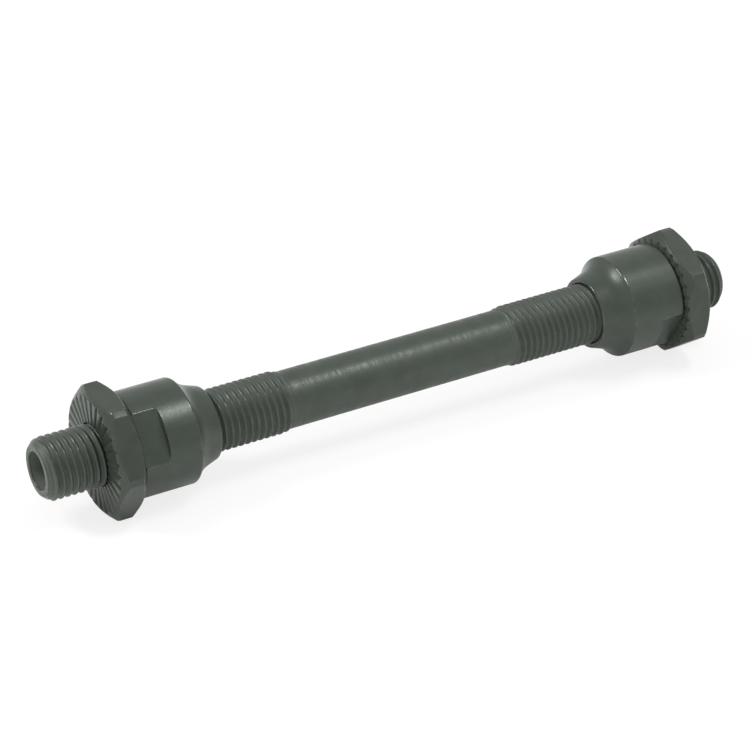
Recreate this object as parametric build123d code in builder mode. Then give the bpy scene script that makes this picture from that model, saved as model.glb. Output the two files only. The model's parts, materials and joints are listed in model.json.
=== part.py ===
"""Hollow front hub axle: a threaded tube with two bearing cones and two serrated lock nuts.

Millimetres. The axle lies along X with its middle at the origin, its left end at -X, and
+Z is up. Each cone and nut is drawn from its own outer face inwards, towards the middle
of the axle, so the left and right pieces are the same piece turned end for end.
"""
from build123d import *
import math
import os

# Axle tube
axle_length = 109.2
thread_crest_diameter = 8.9
thread_length = 35.8
thread_runout = 1.3
shank_diameter = 8.2
bore_diameter = 5.4
bore_mouth_chamfer = 0.15
end_face_diameter = 7.1
end_chamfer_length = 1.0

# Fit of the screwed pieces over the thread crests, on the radius
thread_clearance = 0.03
thread_entry_chamfer = 0.15

# Lock nuts: the turned-down corners rise past the circle where each face ends
nut_across_flats = 16.9
nut_thickness = 4.0
nut_face_diameter = 16.1
nut_corner_rise = 1.45
nut_chamfer_angle = 35.0
serration_count = 30
serration_depth = 0.22
serration_angle = 125.0

# Bearing cones
cone_diameter = 15.0
cone_body_length = 8.65
cone_end_chamfer = 0.4
race_radius = 4.6
race_length = 2.25
race_root_diameter = 11.6
race_lip_chamfer = 0.15
nose_length = 1.85
nose_end_diameter = 10.4
flats_width = 13.0
flats_length = 4.0
flats_root_radius = 0.5

# How far a cutting shape reaches past the stock that it cuts, and above a serrated face
cut_margin = 0.4
serration_lift = 0.1

# How far the axle stands out of each lock nut
left_stub_length = 8.3
right_stub_length = 5.6

# The way a flat of each piece faces: degrees above -Y, turned about the axle
left_nut_turn = 30.0
right_nut_turn = 6.8
left_cone_turn = 33.8
right_cone_turn = -28.6

# Values that follow
axle_end = axle_length / 2
crest_radius = thread_crest_diameter / 2
screwed_radius = crest_radius + thread_clearance
screwed_mouth_radius = screwed_radius + thread_entry_chamfer
nut_face_radius = nut_face_diameter / 2
nut_corner_radius = nut_face_radius + nut_corner_rise
left_nut_face = -axle_end + left_stub_length
left_cone_face = left_nut_face + nut_thickness
right_nut_face = axle_end - right_stub_length
right_cone_face = right_nut_face - nut_thickness


def seat(face_x, inward, turn):
    """Plane of a piece's outer face: z runs inwards along the axle, x is normal to a flat."""
    angle = math.radians(turn)
    return Plane(
        origin=(face_x, 0, 0),
        x_dir=(0, -math.cos(angle), math.sin(angle)),
        z_dir=(inward, 0, 0),
    )


def side_of(base):
    """Plane through the axle: x runs inwards along the axle and y is the radius."""
    return Plane(origin=base.origin, x_dir=base.z_dir, z_dir=base.x_dir)


def axis_of(base):
    """The axle's own axis, from the outer face inwards."""
    return Axis(base.origin, base.z_dir)


def cone_blank(base):
    """Turned form of a cone: body, concave ball race, tapered nose and screwed bore."""
    cone_radius = cone_diameter / 2
    race_end = cone_body_length + race_length
    cone_length = race_end + nose_length
    lip = (cone_body_length, cone_radius)
    root = (race_end, race_root_diameter / 2)
    with BuildSketch(side_of(base)) as section:
        with BuildLine():
            Polyline(
                (cone_end_chamfer, cone_radius),
                (0, cone_radius - cone_end_chamfer),
                (0, screwed_mouth_radius),
                (thread_entry_chamfer, screwed_radius),
                (cone_length - thread_entry_chamfer, screwed_radius),
                (cone_length, screwed_mouth_radius),
                (cone_length, nose_end_diameter / 2),
                root,
            )
            RadiusArc(root, lip, race_radius)
            Line(lip, (cone_end_chamfer, cone_radius))
        make_face()
        chamfer(section.vertices().sort_by_distance(lip)[0], length=race_lip_chamfer)
    revolve(section.sketch, axis=axis_of(base))


def spanner_flats(base):
    """Cut the two flats from the outer face, each with a rounded root at its shoulder."""
    waste = cone_diameter
    root = (flats_length, flats_width / 2)
    with BuildSketch(Plane(origin=base.origin, x_dir=base.z_dir, z_dir=base.y_dir)) as cuts:
        with Locations((0, flats_width / 2)):
            Rectangle(flats_length, waste, align=Align.MIN)
        fillet(cuts.vertices().sort_by_distance(root)[0], radius=flats_root_radius)
        mirror(about=Plane.XZ)
    extrude(cuts.sketch, amount=waste, both=True, mode=Mode.SUBTRACT)


def nut_blank(base):
    """Hexagon with its corners turned down, both faces chamfered round, and a screwed bore."""
    chamfer_run = nut_corner_rise * math.tan(math.radians(nut_chamfer_angle))
    with BuildSketch(base) as hexagon:
        RegularPolygon(nut_across_flats / 2, 6, major_radius=False, rotation=30)
    extrude(hexagon.sketch, amount=nut_thickness)
    with BuildSketch(side_of(base)) as envelope:
        with BuildLine():
            Polyline(
                (0, screwed_radius),
                (0, nut_face_radius),
                (chamfer_run, nut_corner_radius),
                (nut_thickness - chamfer_run, nut_corner_radius),
                (nut_thickness, nut_face_radius),
                (nut_thickness, screwed_radius),
                close=True,
            )
        make_face()
    revolve(envelope.sketch, axis=axis_of(base), mode=Mode.INTERSECT)


def serrations(face):
    """Cut the radial V grooves into a nut's face, with a groove square to each flat."""
    with Locations(face):
        with PolarLocations(0, serration_count):
            add(serration_groove.part, mode=Mode.SUBTRACT)


def locknut_form(base):
    """A whole lock nut, serrated on both faces."""
    nut_blank(base)
    serrations(base)
    serrations(Plane(origin=base.origin + base.z_dir * nut_thickness, x_dir=base.x_dir, z_dir=-base.z_dir))


# Axle tube: bored through, crests of the threads at both ends, plain shank between
with BuildPart() as hollow_axle:
    thread_end = axle_end - thread_length
    shank_end = thread_end - thread_runout
    bore_radius = bore_diameter / 2
    with BuildSketch(Plane.XZ):
        with BuildLine():
            Polyline(
                (0, bore_radius),
                (axle_end - bore_mouth_chamfer, bore_radius),
                (axle_end, bore_radius + bore_mouth_chamfer),
                (axle_end, end_face_diameter / 2),
                (axle_end - end_chamfer_length, crest_radius),
                (thread_end, crest_radius),
                (shank_end, shank_diameter / 2),
                (0, shank_diameter / 2),
                close=True,
            )
        make_face()
    revolve(axis=Axis.X)
    mirror(about=Plane.YZ)
hollow_axle.part.label = "hollow_axle"

# Cones: the flats are at the outer end and the ball race looks inwards
with BuildPart() as left_cone:
    left_cone_seat = seat(left_cone_face, 1, left_cone_turn)
    cone_blank(left_cone_seat)
    spanner_flats(left_cone_seat)
left_cone.part.label = "left_cone"

with BuildPart() as right_cone:
    right_cone_seat = seat(right_cone_face, -1, right_cone_turn)
    cone_blank(right_cone_seat)
    spanner_flats(right_cone_seat)
right_cone.part.label = "right_cone"

# Cutter for one serration, in its face's own frame: x runs outwards and z into the nut.
# Depth and width both grow with the radius, so the ribs between keep their form.
with BuildPart() as serration_groove:
    for radius in (screwed_radius - cut_margin, nut_corner_radius + cut_margin):
        scale = radius / nut_face_radius
        root_depth = serration_depth * scale
        lift = serration_lift * scale
        half_width = (root_depth + lift) * math.tan(math.radians(serration_angle / 2))
        with BuildSketch(Plane(origin=(radius, 0, 0), x_dir=(0, 1, 0), z_dir=(1, 0, 0))):
            Polygon((0, root_depth), (-half_width, -lift), (half_width, -lift), align=None)
    loft(ruled=True)

# Lock nuts: each one bears on the outer face of its cone
with BuildPart() as left_locknut:
    locknut_form(seat(left_nut_face, 1, left_nut_turn))
left_locknut.part.label = "left_locknut"

with BuildPart() as right_locknut:
    locknut_form(seat(right_nut_face, -1, right_nut_turn))
right_locknut.part.label = "right_locknut"

os.makedirs("parts", exist_ok=True)
export_step(hollow_axle.part, "parts/hollow_axle.step")
export_step(left_cone.part, "parts/left_cone.step")
export_step(right_cone.part, "parts/right_cone.step")
export_step(left_locknut.part, "parts/left_locknut.step")
export_step(right_locknut.part, "parts/right_locknut.step")
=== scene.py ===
"""Hollow front hub axle: rolled threads, serrated lock nuts, ground cones, blackened steel.

Metres. The axle lies along X. An angle round it runs from +Y towards +Z. Each cone and nut is
drawn as a closed section of (depth, radius) rows, where depth runs from its outer face inwards.
Wear and painted fill are kept on every point: above 0 the oxide is rubbed to bare metal, and
below 0 a paler colour is mixed in and the surface is duller: painted fill light that lifts the
shade on thread flanks, in the bore and on the nuts' inner faces, and a slight paling of the
nuts' corner lands.
"""
import json
import math

import bmesh
import bpy
import numpy as np
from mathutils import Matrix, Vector


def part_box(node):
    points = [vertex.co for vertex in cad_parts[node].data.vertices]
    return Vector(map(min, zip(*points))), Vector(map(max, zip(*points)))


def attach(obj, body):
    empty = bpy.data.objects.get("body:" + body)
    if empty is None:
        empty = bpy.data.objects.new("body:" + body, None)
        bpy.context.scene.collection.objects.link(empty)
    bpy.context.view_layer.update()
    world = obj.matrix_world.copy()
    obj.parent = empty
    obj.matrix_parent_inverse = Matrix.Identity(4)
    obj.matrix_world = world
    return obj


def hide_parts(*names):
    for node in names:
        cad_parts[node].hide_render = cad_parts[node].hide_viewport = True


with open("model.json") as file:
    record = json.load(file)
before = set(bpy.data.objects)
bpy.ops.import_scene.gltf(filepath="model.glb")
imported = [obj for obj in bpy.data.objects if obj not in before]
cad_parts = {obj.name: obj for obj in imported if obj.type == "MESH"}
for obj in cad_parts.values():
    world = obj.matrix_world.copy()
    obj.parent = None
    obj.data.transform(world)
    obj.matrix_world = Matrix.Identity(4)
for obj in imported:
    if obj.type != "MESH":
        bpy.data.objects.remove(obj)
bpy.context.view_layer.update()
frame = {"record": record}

MM = 0.001

# Sizes and places taken from the frame
AXLE_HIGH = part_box("hollow_axle")[1]
AXLE_END = AXLE_HIGH[0]
CREST_RADIUS = AXLE_HIGH[2]
MOUNTS = {mount["name"]: mount for mount in frame["record"]["mounts"]}
BORE_RADIUS = MOUNTS["skewer_bore"]["dims"]["r_mm"] * MM
NUT_LOW, NUT_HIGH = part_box("left_locknut")
NUT_ACROSS_FLATS = NUT_HIGH[2] - NUT_LOW[2]
NUT_THICKNESS = NUT_HIGH[0] - NUT_LOW[0]
CONE_LOW, CONE_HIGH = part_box("left_cone")
CONE_LENGTH = CONE_HIGH[0] - CONE_LOW[0]

# Axle
PITCH = 1.0 * MM
ROOT_RADIUS = 3.93 * MM
SHANK_RADIUS = 4.1 * MM
THREAD_LENGTH = 35.8 * MM
THREAD_END = AXLE_END - THREAD_LENGTH
RUNOUT = 1.3 * MM
SHANK_END = THREAD_END - RUNOUT
END_FACE_RADIUS = 3.55 * MM
END_CHAMFER = 1.0 * MM
BORE_MOUTH = 0.15 * MM
END_EDGE = 0.05 * MM
AXLE_COLUMNS = 96
SHANK_RINGS = 7
BORE_RINGS = 11

# Thread: rows to a pitch, their wear and painted fill from crest to root (rubbed crests, and a
# paler colour painted on the flanks to lift their shade), and its height against the way from root
# to crest, both as shares
THREAD_ROWS = 8
THREAD_WEAR_AND_FILL = (0.4, -0.2, -0.35, -0.05)
THREAD_FLANK = ((0, 0), (0.2, 0.05), (0.8, 0.94), (1, 1))

# Screwed bores of the cones and nuts
SCREWED_RADIUS = CREST_RADIUS + 0.03 * MM
SCREWED_MOUTH = 0.15 * MM

# Lock nuts. A serration's depth is given against the way from its middle to the middle of the
# rib beside it, both as shares.
NUT_APOTHEM = NUT_ACROSS_FLATS / 2
NUT_CORNER_RADIUS = 9.5 * MM
NUT_FACE_RADIUS = 8.05 * MM
NUT_CHAMFER_ANGLE = math.radians(35)
NUT_CORNER_EDGE = math.acos(NUT_APOTHEM / NUT_CORNER_RADIUS)
NUT_CORNER_WORN = math.radians(4)
NUT_EDGE_WEAR = 0.4
NUT_SIDE_EDGE_WEAR = -0.1
# Paler colour painted on each nut's inner face, lifting the shade between the nut and the cone
NUT_INNER_FACE_FILL = -0.35
SERRATIONS = 30
SERRATION_DEPTH = 0.22 * MM
SERRATION_FLANK = ((0, 1), (0.17, 0.67), (0.34, 0.34), (0.5, 0.06), (0.65, 0), (1, 0))
# Rows between a nut's corners, as shares of the way over its face, its chamfer and its side
NUT_FACE_ROWS = (0.2, 0.4, 0.6, 0.8)
NUT_CHAMFER_ROWS = (0.25, 0.5, 0.75)
NUT_SIDE_ROWS = (0.12, 0.3, 0.5)
NUT_COLUMNS = 360
NUT_EDGE_SPREAD = 0.5

# Cones
CONE_RADIUS = 7.5 * MM
CONE_BODY = 8.65 * MM
CONE_CHAMFER = 0.4 * MM
CONE_BURR = 0.03 * MM
RACE_LENGTH = 2.25 * MM
RACE_ROOT_RADIUS = 5.8 * MM
RACE_RADIUS = 4.6 * MM
RACE_STEPS = 12
NOSE_END_RADIUS = 5.2 * MM
FLATS_APOTHEM = 6.5 * MM
FLATS_LENGTH = 4.0 * MM
FLATS_ROOT = 0.5 * MM
FLATS_ROOT_TURNS = (0, 22.5, 45, 67.5, 90)
FLATS_EDGE = math.acos(FLATS_APOTHEM / CONE_RADIUS)
FLATS_EDGE_WEAR = 0.5
FLATS_EDGE_REACH = 0.2 * MM
LEAST_COSINE = 0.05
CONE_COLUMNS = 180
CONE_EDGE_SPREAD = 0.7

# Turn of a flat's normal round the axle
LEFT_NUT_TURN = math.radians(180 - 30.0)
RIGHT_NUT_TURN = math.radians(180 - 6.8)
LEFT_CONE_TURN = math.radians(180 - 33.8)
RIGHT_CONE_TURN = math.radians(180 + 28.6)

# Edge easing left by tumbling, and how many times wider a corner is eased
SOFT_EDGE = 0.07 * MM
NO_EDGE, SHARP, BROKEN = 0.0, 1.0, 2.0
# The easing's limit on each side of a corner: a share of the way to the next row
LIMIT_TO_CORNER, LIMIT_TO_PLAIN = 1 / 5, 1 / 2.5
# How far the middle of an eased corner stands back along both sides, and the wear beside it
CORNER_SET_BACK = 0.293
BESIDE_WEAR = 0.6

# Welding of points, angles past which an edge stays sharp, and reach of an edge's own wear
MERGE = 0.002 * MM
THREAD_CREASE = math.radians(75)
TURNED_CREASE = math.radians(60)
EDGE_REACH = math.radians(0.9)

# Noise of the finishes, in cycles a metre, the span of it that is used, and the stretch of the
# marks of turning
MOTTLE, SPECK, TURNING_MARKS, RUB = 420.0, 3600.0, 900.0, 1300.0
MOTTLE_SPAN, GRAIN_SPAN, RUB_SPAN = (0.35, 0.65), (0.38, 0.62), (0.42, 0.66)
MARKS_STRETCH = (4.0, 0.25, 0.25)
GRAIN_HEIGHT = 0.05 * MM
GRAIN_STRENGTH = 0.35
OXIDE_SPECULAR = 0.38
METALLIC = (0.2, 0.9)
BURNISH_SPAN = (-0.4, 0.4)
BURNISH = (-0.2, 0.2)

# Floor and light: shares of plain white that a ray meets, as seen and as mirrored
FLOOR_HALF = 1.5
FLOOR_COLOUR = (0.96, 0.96, 0.96, 1.0)
FLOOR_WHITE = (0.8, 0.2)
ROOM_COLOUR = (0.94, 0.98, 0.92, 1.0)
ROOM_STRENGTH = 0.75
ROOM_WHITE = (1.0, 0.3)

# Softboxes: name, place, width along the axle, depth and power
SOFTBOXES = (
    ("overhead_softbox", (0.19, -0.13, 0.53), 0.20, 0.12, 1.3),
    ("back_softbox", (-0.34, 0.155, 0.38), 0.13, 0.16, 1.5),
    ("side_softbox", (0.43, -0.36, 0.55), 0.14, 0.16, 0.15),
)

# Camera, fitted to the photograph's frame
PICTURE = 750
FOCAL_PIXELS = 2840
SENSOR = 36.0
AZIMUTH = math.radians(-29.87)
ELEVATION = math.radians(30.17)
AIM = Vector((-2.913 * MM, 0, 0))
DISTANCE = 398.9 * MM
SHIFT_X = 0.36 / PICTURE
SHIFT_Y = -1.25 / PICTURE
NEAR_CLIP = 0.01


def radial(rows, angles):
    """Points of a grid of (x, radius) rows at the columns' angles."""
    x = rows[..., 0]
    radius = rows[..., 1]
    return np.stack([x, radius * np.cos(angles), radius * np.sin(angles)], axis=-1)


def eased(rows, corners):
    """Round the corners of a closed section, column by column. Also gives each point's wear.

    A corner's number is how many soft edges wide its easing is, and 0 leaves the row as it is.
    """
    out, wear_and_fill = [], []
    none = np.zeros(rows.shape[1])
    for index, here in enumerate(rows):
        if not corners[index]:
            out.append(here)
            wear_and_fill.append(none)
            continue
        width = SOFT_EDGE * corners[index]
        legs, shortest = [], np.inf
        for other in (index - 1, (index + 1) % len(rows)):
            leg = rows[other] - here
            length = np.linalg.norm(leg, axis=1, keepdims=True)
            room = length * (LIMIT_TO_CORNER if corners[other] else LIMIT_TO_PLAIN)
            legs.append(leg / np.maximum(length, MERGE) * np.minimum(width, room))
            shortest = np.minimum(shortest, length[:, 0])
        before, after = legs
        middle = here + (before + after) * CORNER_SET_BACK
        worn = np.clip(shortest / width * 2, 0, 1)
        beside = worn * BESIDE_WEAR
        out += [here + 2 * before, here + before, middle, here + after, here + 2 * after]
        wear_and_fill += [none, beside, worn, beside, none]
    return np.array(out), np.array(wear_and_fill)


def eased_section(rows, columns):
    """Grid of points and wear from a section's (depth, radius, corner) rows."""
    grid = np.array([
        np.stack([np.broadcast_to(depth, len(columns)), np.broadcast_to(radius, len(columns))], axis=-1)
        for depth, radius, corner in rows
    ])
    return eased(grid, [corner for depth, radius, corner in rows])


def grid_mesh(name, points, wear_and_fill, threaded=None, closed=True):
    """Mesh from a grid of points whose rows close on themselves, and its columns too if closed."""
    rows, columns = points.shape[:2]
    ids = np.arange(rows * columns).reshape(rows, columns)
    below = np.roll(ids, -1, axis=0)
    if closed:
        corners = (ids, np.roll(ids, -1, axis=1), np.roll(below, -1, axis=1), below)
    else:
        corners = (ids[:, :-1], ids[:, 1:], below[:, 1:], below[:, :-1])
    faces = np.stack([corner.ravel() for corner in corners], axis=1)
    mesh = bpy.data.meshes.new(name)
    mesh.from_pydata(points.reshape(-1, 3).tolist(), [], faces.tolist())
    worn = mesh.attributes.new("wear_and_fill", "FLOAT", "POINT")
    worn.data.foreach_set("value", wear_and_fill.astype(np.float32).ravel())
    if threaded is not None:
        marked = mesh.attributes.new("threaded", "BOOLEAN", "POINT")
        marked.data.foreach_set("value", np.repeat(threaded, columns))
    piece = bpy.data.objects.new(name, mesh)
    bpy.context.collection.objects.link(piece)
    return piece


def closed_up(piece, crease):
    """Weld the grid's seams and folded rows, turn the faces outwards and smooth them."""
    welder = bmesh.new()
    welder.from_mesh(piece.data)
    bmesh.ops.remove_doubles(welder, verts=welder.verts, dist=MERGE)
    bmesh.ops.dissolve_degenerate(welder, edges=welder.edges, dist=MERGE / 2)
    bmesh.ops.recalc_face_normals(welder, faces=welder.faces)
    welder.to_mesh(piece.data)
    welder.free()
    piece.data.polygons.foreach_set("use_smooth", [True] * len(piece.data.polygons))
    piece.data.set_sharp_from_angle(angle=crease)


def added(tree, kind, **settings):
    """A new node of a tree, with its settings."""
    made = tree.nodes.new(kind)
    for key, value in settings.items():
        setattr(made, key, value)
    return made


def result(tree, operation, *terms, clamp=False):
    """Socket with the result of a sum on sockets and numbers."""
    made = added(tree, "ShaderNodeMath", operation=operation, use_clamp=clamp)
    for socket, term in zip(made.inputs, terms):
        if isinstance(term, float):
            socket.default_value = term
        else:
            tree.links.new(term, socket)
    return made.outputs[0]


class Tree:
    """A node tree under construction, with short calls for the sums that shape a surface."""

    def __init__(self, name, sizes):
        self.tree = bpy.data.node_groups.new(name, "GeometryNodeTree")
        socket_for = self.tree.interface.new_socket
        socket_for("Geometry", in_out="INPUT", socket_type="NodeSocketGeometry")
        self.sockets = {}
        kinds = {size: "NodeSocketFloat" for size in sizes} | {"Material": "NodeSocketMaterial"}
        for label, kind in kinds.items():
            self.sockets[label] = socket_for(label, in_out="INPUT", socket_type=kind).identifier
        socket_for("Geometry", in_out="OUTPUT", socket_type="NodeSocketGeometry")
        self.start = self.node("NodeGroupInput")

    def node(self, kind, **settings):
        return added(self.tree, kind, **settings)

    def link(self, source, target):
        self.tree.links.new(source, target)

    def value(self, label):
        return self.start.outputs[label]

    def math(self, operation, *terms, clamp=False):
        return result(self.tree, operation, *terms, clamp=clamp)

    def vector(self, *terms):
        made = self.node("ShaderNodeCombineXYZ")
        for socket, term in zip(made.inputs, terms):
            self.link(term, socket)
        return made.outputs[0]

    def curve(self, factor, points):
        """Value of a smooth line through these points, at this factor."""
        made = self.node("ShaderNodeFloatCurve")
        line = made.mapping.curves[0]
        for spot, place in zip(list(line.points), (points[0], points[-1])):
            spot.location = place
        for place in points[1:-1]:
            line.points.new(*place)
        made.mapping.update()
        self.link(factor, made.inputs["Value"])
        return made.outputs[0]

    def place(self):
        """The point's x, y, z, its distance from the axle and its turns round the axle."""
        split = self.node("ShaderNodeSeparateXYZ")
        self.link(self.node("GeometryNodeInputPosition").outputs[0], split.inputs[0])
        x, y, z = split.outputs
        squares = self.math("ADD", self.math("MULTIPLY", y, y), self.math("MULTIPLY", z, z))
        turns = self.math("DIVIDE", self.math("ARCTAN2", z, y), 2 * math.pi)
        return x, y, z, self.math("SQRT", squares), turns

    def close(self, geometry):
        """End in Realize Instances and Set Material."""
        real = self.node("GeometryNodeRealizeInstances")
        finish = self.node("GeometryNodeSetMaterial")
        end = self.node("NodeGroupOutput")
        self.link(geometry, real.inputs[0])
        self.link(real.outputs[0], finish.inputs["Geometry"])
        self.link(self.value("Material"), finish.inputs["Material"])
        self.link(finish.outputs[0], end.inputs[0])


def shaped_by(piece, tree, values):
    """Run a tree on a piece with these inputs and keep the result as its plain mesh."""
    modifier = piece.modifiers.new(tree.tree.name, "NODES")
    modifier.node_group = tree.tree
    for label, value in values.items():
        modifier[tree.sockets[label]] = value
    graph = bpy.context.evaluated_depsgraph_get()
    shaped = bpy.data.meshes.new_from_object(piece.evaluated_get(graph))
    piece.modifiers.remove(modifier)
    piece.data = shaped


def thread_tree():
    """Sink a helical thread into the marked rows, with a run-out and a chamfered end."""
    tree = Tree("roll_thread", (
        "Pitch", "Crest Radius", "Root Radius", "Shank Radius", "Axle End", "End Radius", "End Chamfer",
        "Thread End", "Run-out",
    ))
    x, y, z, radius, turns = tree.place()
    phase = tree.math("FRACT", tree.math("SUBTRACT", tree.math("DIVIDE", x, tree.value("Pitch")), turns))
    ridge = tree.math("ABSOLUTE", tree.math("SUBTRACT", tree.math("MULTIPLY", phase, 2.0), 1.0))
    height = tree.curve(ridge, THREAD_FLANK)
    depth = tree.math("SUBTRACT", tree.value("Crest Radius"), tree.value("Root Radius"))
    cut = tree.math("ADD", tree.value("Root Radius"), tree.math("MULTIPLY", depth, height))
    along = tree.math("ABSOLUTE", x)
    past = tree.math("SUBTRACT", tree.value("Thread End"), along)
    fade = tree.math("DIVIDE", past, tree.value("Run-out"), clamp=True)
    to_shank = tree.math("MULTIPLY", tree.math("SUBTRACT", tree.value("Shank Radius"), cut), fade)
    rolled = tree.math("ADD", cut, to_shank)
    from_end = tree.math("SUBTRACT", tree.value("Axle End"), along)
    rise = tree.math("SUBTRACT", tree.value("Crest Radius"), tree.value("End Radius"))
    slope = tree.math("DIVIDE", rise, tree.value("End Chamfer"))
    chamfer = tree.math("ADD", tree.value("End Radius"), tree.math("MULTIPLY", from_end, slope))
    final = tree.math("DIVIDE", tree.math("MINIMUM", rolled, chamfer), radius)
    moved = tree.vector(x, tree.math("MULTIPLY", y, final), tree.math("MULTIPLY", z, final))
    marked = tree.node("GeometryNodeInputNamedAttribute", data_type="BOOLEAN")
    marked.inputs["Name"].default_value = "threaded"
    press = tree.node("GeometryNodeSetPosition")
    tree.link(tree.value("Geometry"), press.inputs["Geometry"])
    tree.link(marked.outputs["Attribute"], press.inputs["Selection"])
    tree.link(moved, press.inputs["Position"])
    tree.close(press.outputs[0])
    return tree


def serration_tree():
    """Press radial V grooves into one face of a nut, deeper the further they are from the axle."""
    tree = Tree("press_serrations", ("Face X", "Inward", "Turn", "Count", "Depth", "Face Radius"))
    x, y, z, radius, turns = tree.place()
    under = tree.math("MULTIPLY", tree.math("SUBTRACT", x, tree.value("Face X")), tree.value("Inward"))
    from_flat = tree.math("SUBTRACT", turns, tree.value("Turn"))
    grooves = tree.math("ADD", tree.math("MULTIPLY", from_flat, tree.value("Count")), 0.5)
    from_middle = tree.math("ABSOLUTE", tree.math("SUBTRACT", tree.math("FRACT", grooves), 0.5))
    groove = tree.curve(tree.math("MULTIPLY", from_middle, 2.0), SERRATION_FLANK)
    full = tree.math("DIVIDE", tree.math("MULTIPLY", tree.value("Depth"), radius), tree.value("Face Radius"))
    floor = tree.math("MULTIPLY", full, groove)
    drop = tree.math("MAXIMUM", tree.math("SUBTRACT", floor, under), 0.0)
    offset = tree.node("ShaderNodeCombineXYZ")
    tree.link(tree.math("MULTIPLY", drop, tree.value("Inward")), offset.inputs[0])
    press = tree.node("GeometryNodeSetPosition")
    tree.link(tree.value("Geometry"), press.inputs["Geometry"])
    tree.link(offset.outputs[0], press.inputs["Offset"])
    tree.close(press.outputs[0])
    return tree


def axle_points():
    """Axle as a closed section: helical rows under the threads, straight rows elsewhere."""
    turn = np.linspace(0, 2 * math.pi, AXLE_COLUMNS + 1)
    step = PITCH / THREAD_ROWS
    rows, wear_and_fill, threaded = [], [], []

    def ring(x, radius, worn=0.0):
        rows.append(np.stack([np.full_like(turn, x), np.full_like(turn, radius)], axis=-1))
        wear_and_fill.append(np.full_like(turn, worn))
        threaded.append(False)

    def helix(start, end):
        first = int(math.floor(start / step)) - THREAD_ROWS
        last = int(math.ceil(end / step)) + 1
        for index in range(first, last):
            x = (index + 0.5) * step + PITCH * turn / (2 * math.pi)
            rows.append(np.stack([np.clip(x, start, end), np.full_like(turn, CREST_RADIUS)], axis=-1))
            from_crest = min(index % THREAD_ROWS, THREAD_ROWS - 1 - index % THREAD_ROWS)
            inside = (x > start) & (x < end)
            # Crests are rubbed; flanks and root are painted paler to lift their shade
            wear_and_fill.append(np.where(inside, THREAD_WEAR_AND_FILL[from_crest], 0.0))
            threaded.append(True)

    # Depth from the end face, radius less the end face's or the bore's, and wear, where -1 paints the bore
    # paler to lift its shade
    rim = (
        (0.0, -2 * END_EDGE, 0.0),
        (0.0, -END_EDGE, 0.5),
        (END_EDGE / 4, -END_EDGE / 8, 1.0),
    )
    mouth = (
        (0.0, BORE_MOUTH + END_EDGE, 0.0),
        (0.0, BORE_MOUTH, 0.6),
        (END_EDGE / 2, BORE_MOUTH - END_EDGE / 2, 1.0),
        (BORE_MOUTH - END_EDGE / 2, END_EDGE / 2, 1.0),
        (BORE_MOUTH, 0.0, 0.6),
        (BORE_MOUTH + END_EDGE, 0.0, 0.0),
        (BORE_MOUTH + 4 * END_EDGE, 0.0, -1.0),
    )
    for depth, lip, worn in rim:
        ring(-AXLE_END + depth, END_FACE_RADIUS + lip, worn)
    helix(-AXLE_END + END_EDGE, -SHANK_END)
    ring(-SHANK_END + END_EDGE, SHANK_RADIUS)
    for x in np.linspace(-SHANK_END, SHANK_END, SHANK_RINGS + 2)[1:-1]:
        ring(x, SHANK_RADIUS)
    ring(SHANK_END - END_EDGE, SHANK_RADIUS)
    helix(SHANK_END, AXLE_END - END_EDGE)
    for depth, lip, worn in reversed(rim):
        ring(AXLE_END - depth, END_FACE_RADIUS + lip, worn)
    for depth, lip, worn in mouth:
        ring(AXLE_END - depth, BORE_RADIUS + lip, worn)
    # The bore is painted paler all through: painted fill that lifts its shade
    for x in np.linspace(AXLE_END, -AXLE_END, BORE_RINGS + 2)[1:-1]:
        ring(x, BORE_RADIUS, -1.0)
    for depth, lip, worn in reversed(mouth):
        ring(-AXLE_END + depth, BORE_RADIUS + lip, worn)
    grid = np.array(rows)
    angles = np.broadcast_to(turn, grid.shape[:2])
    return radial(grid, angles), np.array(wear_and_fill), np.array(threaded)


def make_axle(finish):
    """The hollow axle, with a helical thread rolled on both ends."""
    points, wear_and_fill, threaded = axle_points()
    axle = grid_mesh("threaded_axle", points, wear_and_fill, threaded, closed=False)
    shaped_by(axle, thread_tree(), {
        "Pitch": PITCH,
        "Crest Radius": CREST_RADIUS,
        "Root Radius": ROOT_RADIUS,
        "Shank Radius": SHANK_RADIUS,
        "Axle End": AXLE_END,
        "End Radius": END_FACE_RADIUS,
        "End Chamfer": END_CHAMFER,
        "Thread End": THREAD_END,
        "Run-out": RUNOUT,
        "Material": finish,
    })
    closed_up(axle, THREAD_CREASE)
    return axle


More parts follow.
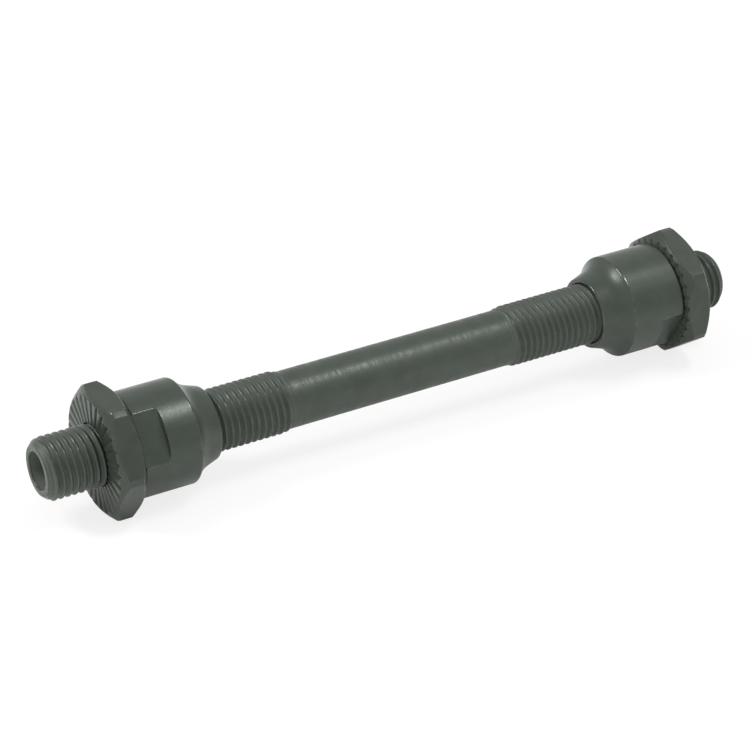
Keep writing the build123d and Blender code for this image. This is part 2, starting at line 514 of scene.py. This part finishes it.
def nut_section(columns):
    """A nut's section at each column, and its wear and painted fill."""
    sixth = math.radians(60)
    from_flat = np.abs((columns + sixth / 2) % sixth - sixth / 2)
    side = np.minimum(NUT_APOTHEM / np.cos(from_flat), NUT_CORNER_RADIUS)
    drop = (side - NUT_FACE_RADIUS) * math.tan(NUT_CHAMFER_ANGLE)
    rows = [(0.0, SCREWED_RADIUS, SHARP)]
    for share in NUT_FACE_ROWS:
        rows.append((0.0, SCREWED_RADIUS + share * (NUT_FACE_RADIUS - SCREWED_RADIUS), NO_EDGE))
    rows.append((0.0, NUT_FACE_RADIUS, SHARP))
    for share in NUT_CHAMFER_ROWS:
        rows.append((share * drop, NUT_FACE_RADIUS + share * (side - NUT_FACE_RADIUS), NO_EDGE))
    rows.append((drop, side, BROKEN))
    for share in NUT_SIDE_ROWS:
        rows.append((drop + share * (NUT_THICKNESS - 2 * drop), side, NO_EDGE))
    rows += [(NUT_THICKNESS - depth, radius, corner) for depth, radius, corner in reversed(rows[:-1])]
    section, wear_and_fill = eased_section(rows, columns)
    depth, radius = section[..., 0], section[..., 1]
    near_corner = np.exp(-((from_flat - sixth / 2) / NUT_CORNER_WORN) ** 2)
    wear_and_fill = wear_and_fill * (NUT_EDGE_WEAR + (1 - NUT_EDGE_WEAR) * near_corner)
    side_edge = (radius > side - MERGE) & (np.abs(from_flat - NUT_CORNER_EDGE) < EDGE_REACH)
    wear_and_fill = np.where(side_edge, NUT_SIDE_EDGE_WEAR, wear_and_fill)
    # Painted fill: the inner face is paled to lift the shade between the nut and the cone
    inner_face = (depth > NUT_THICKNESS - MERGE) & (radius < NUT_FACE_RADIUS - SOFT_EDGE)
    return section, np.where(inner_face, NUT_INNER_FACE_FILL, wear_and_fill)


def cone_section(columns):
    """A cone's section at each column, and its wear."""
    lean = np.maximum(np.abs(np.cos(columns)), LEAST_COSINE)
    flat = np.minimum(CONE_RADIUS, FLATS_APOTHEM / lean)
    chamfer_radius = CONE_RADIUS - CONE_CHAMFER
    face = np.minimum(chamfer_radius, flat - CONE_BURR)
    chamfer = np.maximum(CONE_BURR, flat - chamfer_radius)
    mouth = SCREWED_RADIUS + SCREWED_MOUTH
    rows = [(0.0, mouth, SHARP), (0.0, face, SHARP), (chamfer, flat, SHARP)]
    for turn in np.radians(FLATS_ROOT_TURNS):
        height = FLATS_APOTHEM + FLATS_ROOT * (1 - math.cos(turn))
        along = FLATS_LENGTH - FLATS_ROOT * (1 - math.sin(turn))
        rows.append((along, np.minimum(CONE_RADIUS, height / lean), NO_EDGE))
    rows += [(FLATS_LENGTH, CONE_RADIUS, SHARP), (CONE_BODY, CONE_RADIUS, BROKEN)]
    chord = math.hypot(RACE_LENGTH, CONE_RADIUS - RACE_ROOT_RADIUS)
    sweep = 2 * math.asin(chord / 2 / RACE_RADIUS)
    slope = math.atan2(RACE_ROOT_RADIUS - CONE_RADIUS, RACE_LENGTH)
    for share in np.linspace(0, 1, RACE_STEPS + 1)[1:-1]:
        bow = sweep * share / 2
        reach = 2 * RACE_RADIUS * math.sin(bow)
        heading = slope - sweep / 2 + bow
        along = CONE_BODY + reach * math.cos(heading)
        rows.append((along, CONE_RADIUS + reach * math.sin(heading), NO_EDGE))
    rows += [
        (CONE_BODY + RACE_LENGTH, RACE_ROOT_RADIUS, NO_EDGE),
        (CONE_LENGTH, NOSE_END_RADIUS, BROKEN),
        (CONE_LENGTH, mouth, SHARP),
        (CONE_LENGTH - SCREWED_MOUTH, SCREWED_RADIUS, NO_EDGE),
        (SCREWED_MOUTH, SCREWED_RADIUS, NO_EDGE),
    ]
    section, wear_and_fill = eased_section(rows, columns)
    depth, radius = section[..., 0], section[..., 1]
    from_flat = np.abs((columns + math.pi / 2) % math.pi - math.pi / 2)
    on_edge = np.abs(from_flat - FLATS_EDGE) < EDGE_REACH
    on_flats = (depth > CONE_CHAMFER) & (depth < FLATS_LENGTH) & (radius > CONE_RADIUS - FLATS_EDGE_REACH)
    return section, np.where(on_flats & on_edge, FLATS_EDGE_WEAR, wear_and_fill)


def columns_along(edges, count, spread):
    """Even columns, with close sets of three along the given edges, which are in degrees."""
    even = np.arange(count) * 360.0 / count
    clear = spread * 1.4
    kept = [degree for degree in even if min(abs(degree - edge) for edge in edges) > clear]
    close = [edge + offset for edge in edges for offset in (-spread, 0.0, spread)]
    return np.radians(np.sort(np.array(kept + close)))


def nut_columns():
    """Columns round a nut, close along both edges of each turned-down corner."""
    edge = math.degrees(NUT_CORNER_EDGE)
    edges = [(flat + side * edge) % 360 for flat in range(0, 360, 60) for side in (-1, 1)]
    return columns_along(edges, NUT_COLUMNS, NUT_EDGE_SPREAD)


def cone_columns():
    """Columns round a cone, close along the edges of its flats."""
    edge = math.degrees(FLATS_EDGE)
    return columns_along([edge, 180 - edge, 180 + edge, 360 - edge], CONE_COLUMNS, CONE_EDGE_SPREAD)


def turned_piece(name, section, wear_and_fill, columns, face_x, inward, turn):
    """Place a section's columns round the axle, from an outer face inwards."""
    placed = section.copy()
    placed[..., 0] = face_x + inward * section[..., 0]
    angles = np.broadcast_to(turn + columns, placed.shape[:2])
    return grid_mesh(name, radial(placed, angles), wear_and_fill)


def make_nut(name, face_x, inward, turn, finish):
    """A lock nut with serrations pressed into both faces."""
    columns = nut_columns()
    nut = turned_piece(name, *nut_section(columns), columns, face_x, inward, turn)
    tree = serration_tree()
    for face, direction in ((face_x, inward), (face_x + inward * NUT_THICKNESS, -inward)):
        shaped_by(nut, tree, {
            "Face X": face,
            "Inward": float(direction),
            "Turn": turn / (2 * math.pi),
            "Count": float(SERRATIONS),
            "Depth": SERRATION_DEPTH,
            "Face Radius": NUT_FACE_RADIUS,
            "Material": finish,
        })
    closed_up(nut, TURNED_CREASE)
    return nut


def make_cone(name, face_x, inward, turn, finish):
    """A bearing cone with a ground race and two spanner flats."""
    columns = cone_columns()
    cone = turned_piece(name, *cone_section(columns), columns, face_x, inward, turn)
    closed_up(cone, TURNED_CREASE)
    cone.data.materials.append(finish)
    return cone


def noise(tree, coordinates, scale, stretch=(1, 1, 1), detail=3.0):
    """Noise on the piece's own coordinates, in cycles a metre."""
    mapping = added(tree, "ShaderNodeMapping")
    mapping.inputs["Scale"].default_value = stretch
    texture = added(tree, "ShaderNodeTexNoise")
    texture.inputs["Scale"].default_value = scale
    texture.inputs["Detail"].default_value = detail
    tree.links.new(coordinates, mapping.inputs["Vector"])
    tree.links.new(mapping.outputs["Vector"], texture.inputs["Vector"])
    return texture.outputs["Fac"]


def ranged(tree, source, across, to):
    """A socket's value carried from one range onto another, and held at its ends."""
    made = added(tree, "ShaderNodeMapRange")
    for label, value in zip(("From Min", "From Max", "To Min", "To Max"), (*across, *to)):
        made.inputs[label].default_value = value
    tree.links.new(source, made.inputs["Value"])
    return made.outputs["Result"]


def mixed(tree, factor, first, second):
    """Mix of two colours or colour sockets by a factor socket."""
    made = added(tree, "ShaderNodeMix", data_type="RGBA")
    tree.links.new(factor, made.inputs[0])
    for socket, colour in ((made.inputs[6], first), (made.inputs[7], second)):
        if isinstance(colour, tuple):
            socket.default_value = (*colour, 1.0)
        else:
            tree.links.new(colour, socket)
    return made.outputs[2]


def blackened_steel(name, dark, pale, painted_fill, worn, roughness, uneven, turning, rubbed):
    """Oil-blackened steel: mottled oxide with fine grain and turning marks.

    Worn edges are rubbed to bare metal. Where the wear is below 0 a paler colour is painted in as fill light
    that lifts the shade, and the surface is duller.
    """
    material = bpy.data.materials.new(name)
    material.use_nodes = True
    tree = material.node_tree
    surface = tree.nodes["Principled BSDF"].inputs
    surface["Specular IOR Level"].default_value = OXIDE_SPECULAR
    own = added(tree, "ShaderNodeTexCoord").outputs["Object"]
    wear_and_fill = added(tree, "ShaderNodeAttribute", attribute_type="GEOMETRY", attribute_name="wear_and_fill").outputs["Fac"]

    mottle = ranged(tree, noise(tree, own, MOTTLE, detail=4.0), MOTTLE_SPAN, (0.0, 1.0))
    # Painted fill light: below 0 wear the oxide is paled towards the fill colour, lifting the shade
    painted_fill_share = ranged(tree, wear_and_fill, (0.0, -1.0), (0.0, 1.0))
    oxide_and_fill = mixed(tree, painted_fill_share, mixed(tree, mottle, dark, pale), painted_fill)
    patches = ranged(tree, noise(tree, own, RUB), RUB_SPAN, (0.0, rubbed))
    bare = result(tree, "MULTIPLY", wear_and_fill, patches, clamp=True)
    tree.links.new(mixed(tree, bare, oxide_and_fill, worn), surface["Base Color"])
    tree.links.new(ranged(tree, bare, (0.0, 1.0), METALLIC), surface["Metallic"])

    grain = added(tree, "ShaderNodeMix", data_type="FLOAT")
    grain.inputs[0].default_value = turning
    tree.links.new(noise(tree, own, SPECK, detail=2.0), grain.inputs[2])
    tree.links.new(noise(tree, own, TURNING_MARKS, MARKS_STRETCH, detail=2.0), grain.inputs[3])
    rough = ranged(tree, grain.outputs[0], GRAIN_SPAN, (roughness - uneven, roughness + uneven))
    burnished = ranged(tree, wear_and_fill, BURNISH_SPAN, BURNISH)
    tree.links.new(result(tree, "SUBTRACT", rough, burnished), surface["Roughness"])
    bump = added(tree, "ShaderNodeBump")
    bump.inputs["Strength"].default_value = GRAIN_STRENGTH
    bump.inputs["Distance"].default_value = GRAIN_HEIGHT
    tree.links.new(grain.outputs[0], bump.inputs["Height"])
    tree.links.new(bump.outputs["Normal"], surface["Normal"])
    return material


def whitened(tree, lit, white, end, seen, mirrored):
    """Show plain white to a ray from the camera, or one that metal or glass sends on."""
    path = added(tree, "ShaderNodeLightPath").outputs
    direct = result(tree, "MULTIPLY", path["Is Camera Ray"], seen)
    off_metal = result(tree, "MULTIPLY", path["Is Glossy Ray"], mirrored)
    through_glass = result(tree, "MULTIPLY", path["Is Transmission Ray"], mirrored)
    share = result(tree, "MAXIMUM", result(tree, "MAXIMUM", direct, off_metal), through_glass)
    blend = added(tree, "ShaderNodeMixShader")
    for source, socket in zip((share, lit.outputs[0], white.outputs[0]), blend.inputs):
        tree.links.new(source, socket)
    tree.links.new(blend.outputs[0], tree.nodes[end].inputs["Surface"])


def make_floor():
    """Pale floor that both nuts rest on: the left one on a flat, the right one near a corner."""
    touches = []
    for node in ("left_locknut", "right_locknut"):
        low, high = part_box(node)
        touches.append(((low[0] + high[0]) / 2, low[2]))
    (left_x, left_z), (right_x, right_z) = touches
    slope = (right_z - left_z) / (right_x - left_x)
    corners = [
        (x * FLOOR_HALF, y * FLOOR_HALF, left_z + slope * (x * FLOOR_HALF - left_x))
        for x, y in ((-1, -1), (1, -1), (1, 1), (-1, 1))
    ]
    mesh = bpy.data.meshes.new("floor")
    mesh.from_pydata(corners, [], [(0, 1, 2, 3)])
    floor = bpy.data.objects.new("floor", mesh)
    bpy.context.collection.objects.link(floor)
    material = bpy.data.materials.new("pale_floor")
    material.use_nodes = True
    tree = material.node_tree
    surface = tree.nodes["Principled BSDF"]
    surface.inputs["Base Color"].default_value = FLOOR_COLOUR
    surface.inputs["Roughness"].default_value = 0.9
    surface.inputs["Specular IOR Level"].default_value = 0.0
    white = added(tree, "ShaderNodeEmission")
    white.inputs["Strength"].default_value = 1.0
    whitened(tree, surface, white, "Material Output", *FLOOR_WHITE)
    mesh.materials.append(material)


def make_light():
    """A pale room and three softboxes, each aimed at the middle of the axle."""
    world = bpy.data.worlds.new("studio")
    bpy.context.scene.world = world
    world.use_nodes = True
    tree = world.node_tree
    room = tree.nodes["Background"]
    room.inputs["Color"].default_value = ROOM_COLOUR
    room.inputs["Strength"].default_value = ROOM_STRENGTH
    white = added(tree, "ShaderNodeBackground")
    white.inputs["Color"].default_value = (1.0, 1.0, 1.0, 1.0)
    white.inputs["Strength"].default_value = 1.0
    whitened(tree, room, white, "World Output", *ROOM_WHITE)
    for name, place, width, depth, power in SOFTBOXES:
        lamp = bpy.data.lights.new(name, "AREA")
        lamp.shape = "RECTANGLE"
        lamp.size = width
        lamp.size_y = depth
        lamp.energy = power
        holder = bpy.data.objects.new(name, lamp)
        holder.location = place
        holder.rotation_euler = Vector(place).to_track_quat("Z", "Y").to_euler()
        bpy.context.collection.objects.link(holder)


def make_camera():
    """Camera at the photograph's own angle, distance and framing."""
    view = bpy.data.cameras.new("camera")
    view.sensor_width = SENSOR
    view.lens = FOCAL_PIXELS * SENSOR / PICTURE
    view.shift_x = SHIFT_X
    view.shift_y = SHIFT_Y
    view.clip_start = NEAR_CLIP
    camera = bpy.data.objects.new("camera", view)
    back = Vector((
        math.sin(AZIMUTH) * math.cos(ELEVATION),
        -math.cos(AZIMUTH) * math.cos(ELEVATION),
        math.sin(ELEVATION),
    ))
    camera.location = AIM + back * DISTANCE
    camera.rotation_euler = back.to_track_quat("Z", "Y").to_euler()
    bpy.context.collection.objects.link(camera)
    bpy.context.scene.camera = camera


axle_finish = blackened_steel(
    "blackened_axle",
    dark=(0.042, 0.051, 0.043),
    pale=(0.052, 0.062, 0.052),
    # Paler colour painted on the thread flanks and in the bore, lifting their shade
    painted_fill=(0.13, 0.147, 0.128),
    worn=(0.14, 0.14, 0.12),
    roughness=0.40,
    uneven=0.09,
    turning=0.65,
    rubbed=0.4,
)
cone_finish = blackened_steel(
    "blackened_cone",
    dark=(0.039, 0.048, 0.040),
    pale=(0.046, 0.056, 0.047),
    painted_fill=(0.05, 0.06, 0.05),
    worn=(0.16, 0.15, 0.13),
    roughness=0.33,
    uneven=0.04,
    turning=0.5,
    rubbed=0.5,
)
nut_finish = blackened_steel(
    "blackened_nut",
    dark=(0.036, 0.044, 0.037),
    pale=(0.045, 0.052, 0.0435),
    # Paler colour painted on the nuts' inner faces, lifting their shade
    painted_fill=(0.12, 0.135, 0.115),
    worn=(0.14, 0.12, 0.095),
    roughness=0.36,
    uneven=0.06,
    turning=0.2,
    rubbed=0.7,
)

axle = make_axle(axle_finish)
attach(axle, "axle")
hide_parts("hollow_axle")

# How each screwed piece is made, its node, the way in from its outer face, its turn, finish and slot
SCREWED_PIECES = (
    (make_nut, "left_locknut", 1, LEFT_NUT_TURN, nut_finish, "nut_steel"),
    (make_nut, "right_locknut", -1, RIGHT_NUT_TURN, nut_finish, "nut_steel"),
    (make_cone, "left_cone", 1, LEFT_CONE_TURN, cone_finish, "cone_steel"),
    (make_cone, "right_cone", -1, RIGHT_CONE_TURN, cone_finish, "cone_steel"),
)
for make, node, inward, turn, finish, slot in SCREWED_PIECES:
    low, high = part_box(node)
    outer_face = low[0] if inward > 0 else high[0]
    piece = make(node + "_finished", outer_face, inward, turn, finish)
    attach(piece, node)
    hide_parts(node)

make_floor()
make_light()
make_camera()

bpy.context.scene.view_settings.view_transform = "Standard"
